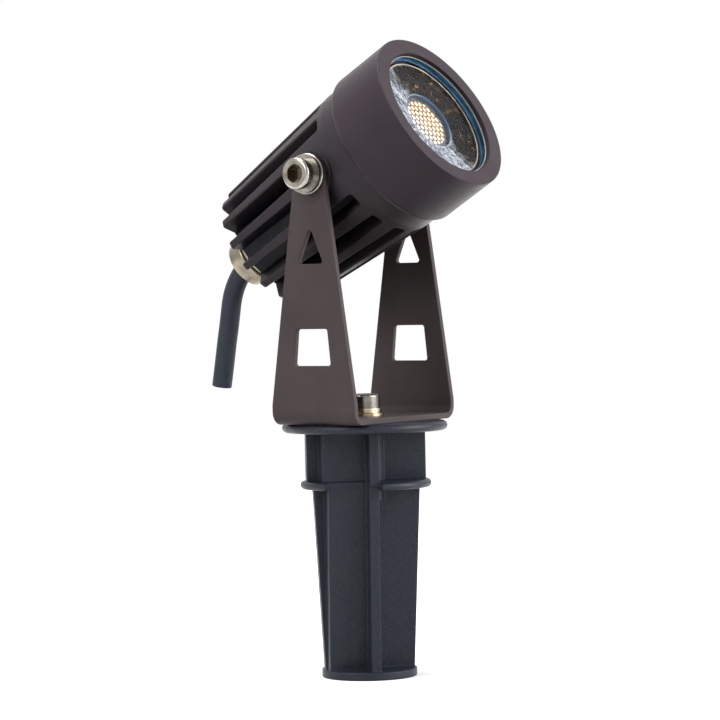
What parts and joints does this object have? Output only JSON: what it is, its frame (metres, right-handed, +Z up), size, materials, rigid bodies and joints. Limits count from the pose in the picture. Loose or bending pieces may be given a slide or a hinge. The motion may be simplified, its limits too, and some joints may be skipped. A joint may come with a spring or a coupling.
{
  "type": "landscape spotlight",
  "caption": "Outdoor LED spotlight with a finned bronze head tilting in a yoke bracket on a ribbed ground stake, with a short supply cord.",
  "frame": {"origin": "centre of the underside of the stake's foot disc", "axes": "+Z up along the stake, X across the two arms of the bracket, the head shines towards -Y and upward"},
  "size_m": [0.0672, 0.1008, 0.1928],
  "materials": {
    "bronze_paint": "satin dark bronze powder coat",
    "cast_bronze_paint": "dark bronze powder coat on die-cast aluminium",
    "stake_plastic": "fine moulded texture, black",
    "stainless": "polished stainless steel",
    "nickel_brass": "turned, nickel plated",
    "plain_brass": "plain",
    "clear_glass": "clear, tempered",
    "lens_acrylic": "clear, pillowed centre",
    "holder_plastic": "white moulded",
    "seal_rubber": "matte black",
    "clear_seal": "translucent silicone",
    "phosphor": "yellow silicone over chips",
    "board_white": "white solder mask",
    "pad_grey": "matte grey",
    "cord_jacket": "matte black-blue",
    "wire_insulation": "red"
  },
  "bodies": {
    "stake": {"ground_stake": "stake_plastic", "stake_insert": "plain_brass", "base_bolt": "stainless", "base_flat_washer": "stainless", "base_spring_washer": "stainless"},
    "bracket": {"yoke_bracket": "bronze_paint"},
    "head": {"front_bezel": "cast_bronze_paint", "glass_gasket": "clear_seal", "front_glass": "clear_glass", "heat_sink_body": "cast_bronze_paint", "bezel_o_ring": "seal_rubber", "tir_lens": "lens_acrylic", "lens_holder": "holder_plastic", "led_emitter": "phosphor", "led_board": "board_white", "thermal_pad": "pad_grey", "board_screws": "stainless", "cable_gland": "nickel_brass", "gland_nut": "nickel_brass", "gland_gasket": "seal_rubber", "gland_bush": "seal_rubber", "cable_tail": "cord_jacket", "lead_wires": "wire_insulation", "power_cord": "cord_jacket", "pivot_bolt_left": "stainless", "pivot_bolt_right": "stainless", "pivot_flat_washers": "stainless", "pivot_spring_washers": "stainless"}
  },
  "joints": [
    {"name": "bracket_swivel", "type": "hinge", "parent": "stake", "child": "bracket", "pos_m": [0, 0, 0.0776], "axis": [0, 0, 1], "continuous": true},
    {"name": "head_tilt", "type": "hinge", "parent": "bracket", "child": "head", "pos_m": [0, 0, 0.1526], "axis": [-1, 0, 0], "range_deg": [-60, 59], "deforming": ["power_cord"]}
  ]
}
